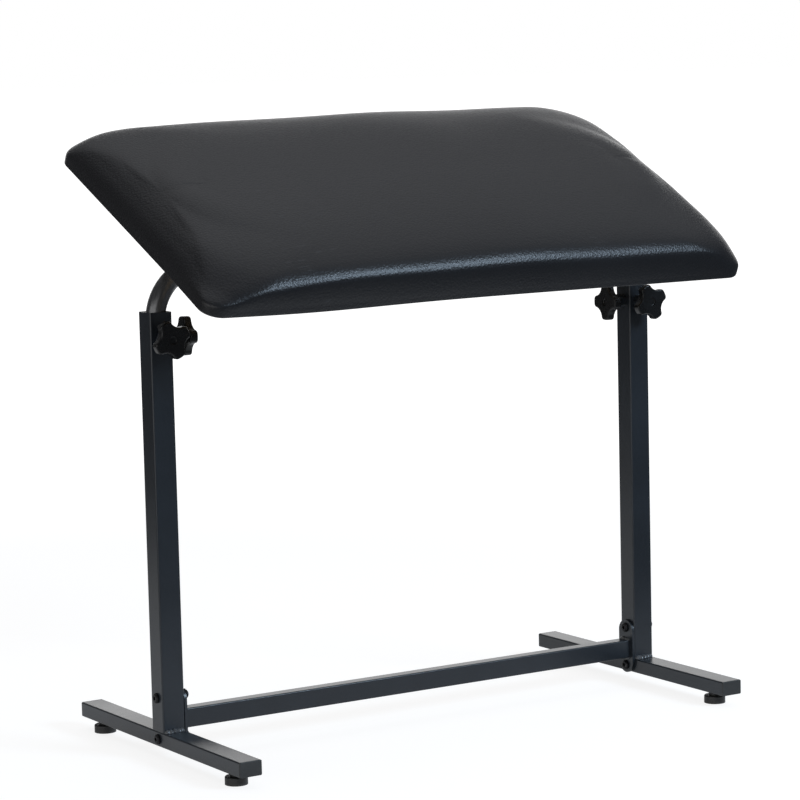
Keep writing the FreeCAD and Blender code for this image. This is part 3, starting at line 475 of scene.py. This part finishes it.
plywood = Finish("bare_plywood")
veneer = plywood.place((1, 9, 9), (PAD_TILT, 0, 0))
rings = plywood.node("ShaderNodeTexWave", {"bands_direction": "Y"}, {
    "Vector": veneer, "Scale": 1.6, "Distortion": 7.0, "Detail": 3.0, "Detail Scale": 1.4},
    output="Fac")
fibre = plywood.cloud(plywood.place((1, 40, 40), (PAD_TILT, 0, 0)), 22, 4, 0.7)
tone = plywood.blend(rings, (0.44, 0.31, 0.19, 1), (0.62, 0.48, 0.32, 1))
plywood.show(
    plywood.blend(plywood.steps(fibre, 0.45, 0.75) * 0.45, tone, (0.27, 0.17, 0.09, 1)),
    0.66 + 0.14 * fibre,
    plywood.relief(fibre, 0.0003, 0.5))
put_on(plywood.material, "pad_board")


# Pad
# A thick block of foam under one piece of soft black vinyl, pulled tight over the edges and folded
# under the board. The long edges stand upright and roll over, the short ends slope in, and the top
# is crowned. The vinyl has a pressed pebble grain, a sheen along the roll and a few faint scuffs.

PAD_HALF_WIDTH = 0.3262
PAD_HALF_DEPTH = 0.17195
PAD_TOP = 0.0597
PAD_CORNER = 0.0202
PAD_CORNER_GROWTH = 2.08
PAD_CORNER_SHARE = 0.92
CORNER_STEPS = 14
LONG_STEPS = 60
END_STEPS = 30
PAD_SHIFT = 0.0095
PAD_STANDOFF = 0.0345
BAR_LEVEL = 0.5009
HEM = 0.032
HEM_CORNER = 0.0114
HEM_INSETS = (HEM, 0.0255, 0.019, 0.0125, 0.007, 0.004)
FOLD = 0.0012
FOLD_STEPS = 4
VINYL = 0.0012
FACE_HEIGHTS = (0.0043, 0.0075, 0.010, 0.0125, 0.015, 0.0175, 0.020, 0.023, 0.026)
ROLL_STEPS = 9
CROWN_STEPS = 30
CROWN_REACH = 0.93
LONG_EDGE = {"face": 0.0289, "rolls": ((0.0095, 40), (0.0284, 35.9)), "ease": 2.62}
SHORT_END = {"face": 0.0085, "rolls": ((0.0130, 28),), "ease": 3.0}
FOAM_RISES = ((0.0042, 0.045, 0.095), (0.0022, 0.20, 0.07), (-0.0066, -0.30, 0.10))
RISE_START, RISE_HEIGHT = 0.011, 0.038
END_SLEW = 0.006
FRONT_START, FRONT_DEPTH = 0.095, 0.055
CORNER_SAG = (0.0032, -0.215, 0.12)
SAG_TOP = 0.028
ROLL_DROOP = (0.0075, -0.30, 0.095, 0.031, 0.023)
FULL_SHOULDER = (0.0032, (0.31, 0.10), 0.125)
COVER_SLACK = 0.0003
SLACK_HEIGHT = 0.012
COVER_REACH = 0.004
STAPLED = 0.006
FOAM_HOLD = 0.3
FOAM_STIFFNESS = 0.15
SETTLING_FRAMES = 12

pad_place = (Matrix.Translation((0, POST_Y, BAR_LEVEL)) @ Matrix.Rotation(PAD_TILT, 4, "X")
             @ Matrix.Translation((0, PAD_SHIFT, PAD_STANDOFF)))


def clamped(share):
    """Keeps a share between 0 and 1."""
    return min(max(share, 0), 1)


def hump(offset, reach):
    """Fades evenly from 1 in the middle to nothing a few reaches away."""
    return math.exp(-(offset / reach) ** 2)


def edge_course(edge):
    """Lists the height, inset and turn from upright where each roll starts, then the crown's."""
    height, inset, turn = edge["face"], 0, 0
    course = [(height, inset, turn)]
    for radius, degrees in edge["rolls"]:
        after = turn + math.radians(degrees)
        height += radius * (math.sin(after) - math.sin(turn))
        inset += radius * (math.cos(turn) - math.cos(after))
        turn = after
        course.append((height, inset, turn))
    return course


def inset_at(height, edge):
    """Tells how far an edge has drawn in at a height above the pad's underside."""
    course = edge_course(edge)
    if height <= edge["face"]:
        return 0
    for (radius, _), (low, inset, turn), (high, _, _) in zip(edge["rolls"], course, course[1:]):
        if height <= high:
            sine = min((height - low) / radius + math.sin(turn), 1)
            return inset + radius * (math.cos(turn) - math.sqrt(1 - sine ** 2))
    start, drawn_in, turn = course[-1]
    run = (PAD_TOP - start) * edge["ease"] * math.tan(turn)
    left = 1 - min((height - start) / (PAD_TOP - start), 0.9999)
    return drawn_in + run * (1 - left ** (1 / edge["ease"]))


def pad_row(across, along, corner, height):
    """Lists a row's points: a rounded rectangle drawn in by an inset on its ends and long edges."""
    half_x, half_y = PAD_HALF_WIDTH - across, PAD_HALF_DEPTH - along
    middles = ((half_x - corner, half_y - corner), (corner - half_x, half_y - corner),
               (corner - half_x, corner - half_y), (half_x - corner, corner - half_y))
    points = []
    for quarter, (x, y) in enumerate(middles):
        after = middles[(quarter + 1) % 4]
        for step in range(CORNER_STEPS + 1):
            turn = (quarter + step / CORNER_STEPS) * math.pi / 2
            points.append(Vector((
                x + corner * math.cos(turn), y + corner * math.sin(turn), height)))
        last = points[-1].copy()
        turn = (quarter + 1) * math.pi / 2
        goal_x, goal_y = after[0] + corner * math.cos(turn), after[1] + corner * math.sin(turn)
        goal = Vector((goal_x, goal_y, height))
        count = END_STEPS if quarter % 2 else LONG_STEPS
        points += [last.lerp(goal, step / count) for step in range(1, count)]
    return points


def pad_rows():
    """Lists the rows of the cover, from the inner edge of its hem to the middle of its crown."""
    rows = []
    for inset in HEM_INSETS:
        corner = PAD_CORNER - (PAD_CORNER - HEM_CORNER) * inset / HEM
        rows.append(pad_row(inset, inset, corner, 0))
    for step in range(FOLD_STEPS + 1):
        turn = step / FOLD_STEPS * math.pi / 2
        inset = FOLD * (1 - math.sin(turn))
        rows.append(pad_row(inset, inset, PAD_CORNER - inset, FOLD * (1 - math.cos(turn))))
    heights = list(FACE_HEIGHTS)
    course = edge_course(LONG_EDGE)
    for (radius, degrees), (low, _, turn) in zip(LONG_EDGE["rolls"], course):
        for step in range(ROLL_STEPS):
            along_roll = turn + math.radians(degrees) * step / ROLL_STEPS
            heights.append(low + radius * (math.sin(along_roll) - math.sin(turn)))
    start, drawn_in, turn = course[-1]
    heights.append(start)
    run = (PAD_TOP - start) * LONG_EDGE["ease"] * math.tan(turn)
    reach = CROWN_REACH * PAD_HALF_DEPTH
    for step in range(1, CROWN_STEPS + 1):
        share = (reach - drawn_in) * step / CROWN_STEPS / run
        heights.append(start + (PAD_TOP - start) * (1 - (1 - share) ** LONG_EDGE["ease"]))
    for height in heights:
        across, along = inset_at(height, SHORT_END), inset_at(height, LONG_EDGE)
        open_corner = PAD_CORNER + PAD_CORNER_GROWTH * max(across, along)
        widest = PAD_CORNER_SHARE * (PAD_HALF_DEPTH - along)
        corner = (open_corner ** -8 + widest ** -8) ** (-1 / 8)
        rows.append(pad_row(across, along, corner, height))
    rest = PAD_HALF_DEPTH - along
    for share in (0.3, 0.6, 1):
        corner = max(widest * (1 - share), 1e-7)
        rows.append(pad_row(
            across + rest * share, along + rest * share - 1e-7, corner, heights[-1]))
    return rows


def settled(point):
    """Lifts or sinks a point where the foam is fuller or softer along the pad."""
    rise = sum(lift * hump(point.x - middle, reach) for lift, middle, reach in FOAM_RISES)
    lift, (across, along), reach = FULL_SHOULDER
    rise += lift * hump(math.hypot(point.x - across, point.y - along), reach)
    share = clamped((point.z - RISE_START) / RISE_HEIGHT)
    front = clamped((-point.y - FRONT_START) / FRONT_DEPTH)
    depth, middle, reach = CORNER_SAG
    sag = depth * hump(point.x - middle, reach) * front * clamped(1 - point.z / SAG_TOP)
    droop, middle, reach, level, half = ROLL_DROOP
    at_roll = max(1 - ((point.z - level) / half) ** 2, 0) ** 2 * front
    sag += droop * hump(point.x - middle, reach) * at_roll
    to_left = max(-point.x / PAD_HALF_WIDTH, 0) ** 4
    slew = (END_SLEW if point.y > 0 else END_SLEW / 2) * point.y * to_left
    return point + Vector((-slew, 0, rise * share * share * (3 - 2 * share) - sag))


rows = pad_rows()
shell = bmesh.new()
loops = [[shell.verts.new(pad_place @ settled(point)) for point in row] for row in rows]
for lower, upper in zip(loops, loops[1:]):
    for i in range(len(lower)):
        j = (i + 1) % len(lower)
        shell.faces.new((lower[i], lower[j], upper[j], upper[i]))
bmesh.ops.remove_doubles(shell, verts=loops[-1], dist=0.0004)
bmesh.ops.dissolve_degenerate(shell, edges=shell.edges, dist=1e-6)
bmesh.ops.recalc_face_normals(shell, faces=shell.faces)
for face in shell.faces:
    face.smooth = True
cover_mesh = bpy.data.meshes.new("pad_upholstery")
shell.to_mesh(cover_mesh)
shell.free()
pad = bpy.data.objects.new("pad_upholstery", cover_mesh)
scene.collection.objects.link(pad)

# The staples hold the hem, and the foam lets the rest of the vinyl stretch and settle a little.
underside = pad_place.inverted()
heights = [(underside @ vertex.co).z for vertex in cover_mesh.vertices]
starts = [vertex.co - vertex.normal * COVER_SLACK * clamped((height - STAPLED) / SLACK_HEIGHT)
          for vertex, height in zip(cover_mesh.vertices, heights)]
held = pad.vertex_groups.new(name="held")
for i, (start, height) in enumerate(zip(starts, heights)):
    cover_mesh.vertices[i].co = start
    held.add([i], 1.0 if height < STAPLED else FOAM_HOLD, "REPLACE")
cloth = pad.modifiers.new("stretch", "CLOTH")
cloth.settings.quality = 5
cloth.settings.mass = 0.3
cloth.settings.tension_stiffness = 5
cloth.settings.compression_stiffness = 5
cloth.settings.shear_stiffness = 2.5
cloth.settings.bending_stiffness = 2
cloth.settings.use_pressure = True
cloth.settings.uniform_pressure_force = 10
cloth.settings.vertex_group_mass = "held"
cloth.settings.pin_stiffness = FOAM_STIFFNESS
cloth.settings.effector_weights.gravity = 0
cloth.collision_settings.use_collision = False
for step in range(1, SETTLING_FRAMES + 1):
    scene.frame_set(step)
seen = pad.evaluated_get(bpy.context.evaluated_depsgraph_get())
moves = [vertex.co - start for vertex, start in zip(seen.data.vertices, starts)]
pad.modifiers.remove(cloth)
pad.vertex_groups.remove(held)
scene.frame_set(1)
for vertex, start, move in zip(cover_mesh.vertices, starts, moves):
    vertex.co = start + move * min(1, COVER_REACH / max(move.length, 1e-9))
cover_mesh.update()

wall = pad.modifiers.new("wall", "SOLIDIFY")
wall.thickness = VINYL
wall.offset = -1

vinyl = Finish("pebbled_vinyl", Specular_IOR_Level=0.32)
spot = vinyl.place()
bent = vinyl.node("ShaderNodeVectorMath", {"operation": "ADD"}, {
    0: spot, 1: vinyl.node("ShaderNodeVectorMath", {"operation": "SCALE"}, {
        0: vinyl.cloud(spot, 210, 2).also("Color"), "Scale": 0.0008})})
pebbles = vinyl.node("ShaderNodeTexVoronoi", {"feature": "SMOOTH_F1"}, {
    "Vector": bent, "Scale": 420.0, "Smoothness": 0.35})
pores = vinyl.cloud(spot, 1500, 2)
drift = vinyl.cloud(spot, 5, 4, 0.6)
patches = vinyl.steps(vinyl.cloud(spot, 7.5, 1), 0.56, 0.70)
rubbing = vinyl.place((9, 70, 70), (PAD_TILT, 0.15, 0))
streaks = vinyl.steps(vinyl.cloud(rubbing, 5, 3, 0.6), 0.60, 0.74)
scuffs = patches * streaks
tone = vinyl.blend(
    vinyl.steps(drift, 0.3, 0.7), (0.0100, 0.0103, 0.0120, 1), (0.0128, 0.0130, 0.0146, 1))
# The hollows between the pebbles are painted darker: painted shade in the grain.
tone = vinyl.blend(pebbles ** 2 * 0.4, tone, (0.008, 0.008, 0.009, 1))
vinyl.show(
    vinyl.blend(scuffs * 0.30, tone, (0.10, 0.10, 0.105, 1)),
    0.31 + 0.04 * (drift - 0.5) + 0.08 * pebbles + 0.10 * scuffs,
    vinyl.relief(1 - pebbles + 0.15 * pores, 0.0005, 0.42))
cover_mesh.materials.append(vinyl.material)
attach(pad, "pad")
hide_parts("pad_cover", "pad_foam")


# Staples under the pad
# Fine wire staples hold the folded hem of the vinyl to the board, a few fingers' width apart.

STAPLE_INSET = 0.022
STAPLE_PITCH = 0.031
STAPLE_PROUD = 0.0002
STAPLE_CROWN = (0.0100, 0.0012, 0.0006)

staple_steel = Finish("staple_steel", Metallic=1.0)
spot = staple_steel.place()
dull = staple_steel.cloud(spot, 500, 3)
staple_steel.show(
    staple_steel.blend(dull, (0.30, 0.30, 0.29, 1), (0.62, 0.62, 0.60, 1)),
    0.24 + 0.16 * staple_steel.cloud(spot, 900))


def staple_tree():
    """Builds the nodes that lay wire crowns end to end along a guide, with gaps between them."""
    tree, given, points = open_row("staples")
    make, link = tree.nodes.new, tree.links.new
    turn = make("FunctionNodeAlignRotationToVector")
    turn.axis = "X"
    link(points.outputs["Tangent"], turn.inputs["Vector"])
    crown = make("GeometryNodeMeshCube")
    crown.inputs["Size"].default_value = STAPLE_CROWN
    row = make("GeometryNodeInstanceOnPoints")
    link(points.outputs["Points"], row.inputs["Points"])
    link(crown.outputs["Mesh"], row.inputs["Instance"])
    link(turn.outputs["Rotation"], row.inputs["Rotation"])
    return close_row(tree, given, row)


hem_line = pad_row(STAPLE_INSET, STAPLE_INSET, HEM_CORNER, -STAPLE_PROUD)
track = [settled(point) for point in hem_line]
staples = grow_from("hem_staples", [track + track[:1]], staple_tree(), {
    "Pitch": STAPLE_PITCH, "Finish": staple_steel.material})
staples.data.transform(pad_place)
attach(staples, "pad")


# Studio
# Pale paper on the floor, lit by a wide cool window on the front right and a broad soft light
# overhead; near the stand the paper also glows a little as painted light. Bright paper behind the
# stand, a pale wall on its left and a glowing patch of floor before that wall, a painted pool of
# light, show as reflections in the coat and the vinyl.

def ramp_between(tree, amount, low, high, first, second):
    """Turns an amount into a smooth step from a first to a second value."""
    step = tree.nodes.new("ShaderNodeMapRange")
    step.interpolation_type = "SMOOTHSTEP"
    step.inputs["From Min"].default_value = low
    step.inputs["From Max"].default_value = high
    step.inputs["To Min"].default_value = first
    step.inputs["To Max"].default_value = second
    tree.links.new(amount, step.inputs["Value"])
    return step.outputs["Result"]


def shader_pair(tree, share, first, second):
    """Mixes two shaders by a share that may be linked or plain."""
    pair = tree.nodes.new("ShaderNodeMixShader")
    if isinstance(share, float):
        pair.inputs[0].default_value = share
    else:
        tree.links.new(share, pair.inputs[0])
    tree.links.new(first, pair.inputs[1])
    tree.links.new(second, pair.inputs[2])
    return pair.outputs[0]


def matt(tree, level):
    """Makes a dull grey surface."""
    surface = tree.nodes.new("ShaderNodeBsdfDiffuse")
    surface.inputs["Color"].default_value = (level, level, level, 1)
    return surface.outputs[0]


def glow(tree, level):
    """Makes a surface that shines evenly."""
    surface = tree.nodes.new("ShaderNodeEmission")
    surface.inputs["Strength"].default_value = level
    return surface.outputs[0]


PAPER_MIDDLE = (-0.15, 0.42, 0)
PAPER_HALF = 60

paper = bpy.data.materials.new("studio_paper")
paper.use_nodes = True
tree = paper.node_tree
tree.nodes.remove(tree.nodes["Principled BSDF"])
spot = tree.nodes.new("ShaderNodeTexCoord")
far = tree.nodes.new("ShaderNodeVectorMath")
far.operation = "LENGTH"
from_middle = tree.nodes.new("ShaderNodeVectorMath")
from_middle.operation = "SUBTRACT"
from_middle.inputs[1].default_value = PAPER_MIDDLE
tree.links.new(spot.outputs["Object"], from_middle.inputs[0])
tree.links.new(from_middle.outputs["Vector"], far.inputs[0])
near_floor = ramp_between(tree, far.outputs["Value"], 0.72, 1.25, 0, 1)
# Near the stand the paper also glows a little for rays other than the camera's. This is painted
# light that brightens the stand from below.
glowing_near_paper = shader_pair(tree, 0.16, matt(tree, 0.80), glow(tree, 2.0))
lit_floor = shader_pair(tree, near_floor, glowing_near_paper, matt(tree, 0.16))
ground = tree.nodes.new("ShaderNodeSeparateXYZ")
tree.links.new(spot.outputs["Object"], ground.inputs[0])
# A patch of floor before the left wall glows: a painted pool of light that the coat and the vinyl
# reflect.
to_left = ramp_between(tree, ground.outputs["X"], -1.1, -1.9, 0, 1)
to_front = ramp_between(tree, ground.outputs["Y"], 0.6, -0.3, 0, 1)
corner_light = tree.nodes.new("ShaderNodeMath")
corner_light.operation = "MULTIPLY"
tree.links.new(to_left, corner_light.inputs[0])
tree.links.new(to_front, corner_light.inputs[1])
lit_floor = shader_pair(tree, corner_light.outputs[0], lit_floor, glow(tree, 1.1))
far_paper = glow(tree, 1.22)
fading = ramp_between(tree, far.outputs["Value"], 0.8, 2.4, 0.70, 1)
seen_floor = shader_pair(tree, fading, matt(tree, 0.88), far_paper)
ray = tree.nodes.new("ShaderNodeLightPath")
floor_look = shader_pair(tree, ray.outputs["Is Camera Ray"], lit_floor, seen_floor)
tree.links.new(floor_look, tree.nodes["Material Output"].inputs["Surface"])

floor_mesh = bpy.data.meshes.new("floor")
corners = ((-1, -1), (1, -1), (1, 1), (-1, 1))
floor_mesh.from_pydata([(PAPER_HALF * x, PAPER_HALF * y, 0) for x, y in corners], [], [(0, 1, 2, 3)])
floor_mesh.materials.append(paper)
floor = bpy.data.objects.new("floor", floor_mesh)
scene.collection.objects.link(floor)

world = bpy.data.worlds.new("studio")
scene.world = world
world.use_nodes = True
tree = world.node_tree
tree.nodes.clear()
aim = tree.nodes.new("ShaderNodeTexCoord")
parts = tree.nodes.new("ShaderNodeSeparateXYZ")
tree.links.new(aim.outputs["Generated"], parts.inputs[0])


def facing(direction, low, high):
    """Gives 0 to 1 as the gaze swings from a wide angle off a direction to a narrow one."""
    towards = tree.nodes.new("ShaderNodeVectorMath")
    towards.operation = "DOT_PRODUCT"
    towards.inputs[1].default_value = Vector(direction).normalized()
    tree.links.new(aim.outputs["Generated"], towards.inputs[0])
    wide, narrow = math.cos(math.radians(low)), math.cos(math.radians(high))
    return ramp_between(tree, towards.outputs["Value"], wide, narrow, 0, 1)


def room_side(colour, strength):
    """Makes an evenly bright part of the room."""
    side = tree.nodes.new("ShaderNodeBackground")
    side.inputs["Color"].default_value = colour
    side.inputs["Strength"].default_value = strength
    return side.outputs[0]


def below(top, rise):
    """Gives 1 under a height in the room, fading to 0 at another."""
    return ramp_between(tree, parts.outputs["Z"], top, rise, 1, 0)


WHITE = (1, 1, 1, 1)

dim = room_side((0.93, 0.95, 1.0, 1), 0.12)
ceiling = room_side((0.96, 0.97, 1.0, 1), 0.70)
room = shader_pair(tree, facing((0.47, 0.33, 0.82), 72, 6), dim, ceiling)
room = shader_pair(tree, below(0.38, 0.82), room, dim)
left_wall = shader_pair(tree, facing((-0.93, -0.36, 0.10), 46, 22), room, room_side(WHITE, 1.7))
room = shader_pair(tree, below(0.22, 0.45), room, left_wall)
paper_behind = shader_pair(tree, facing((0.49, 0.87, 0), 42, 22), room, room_side(WHITE, 1.65))
room = shader_pair(tree, below(0.27, 0.42), room, paper_behind)
ray = tree.nodes.new("ShaderNodeLightPath")
look = shader_pair(tree, ray.outputs["Is Camera Ray"], room, room_side(WHITE, 1.0))
out = tree.nodes.new("ShaderNodeOutputWorld")
tree.links.new(look, out.inputs["Surface"])


def hang_light(name, place, aim, size, power, colour):
    """Hangs a rectangular soft light and points it at a spot."""
    lamp = bpy.data.lights.new(name, "AREA")
    lamp.shape = "RECTANGLE"
    lamp.size, lamp.size_y = size
    lamp.energy = power
    lamp.color = colour
    holder = bpy.data.objects.new(name, lamp)
    turn = (Vector(place) - Vector(aim)).to_track_quat("Z", "Y").to_matrix().to_4x4()
    holder.matrix_world = Matrix.Translation(place) @ turn
    scene.collection.objects.link(holder)


hang_light("window_light", (1.45, -2.80, 1.82), (0, -0.15, 0.55),
           (1.2, 0.85), 76, (0.64, 0.81, 1.0))
hang_light("overhead_light", (-0.25, 0.05, 3.3), (0, 0, 0.5),
           (3.0, 3.0), 7, (0.97, 0.98, 1.0))
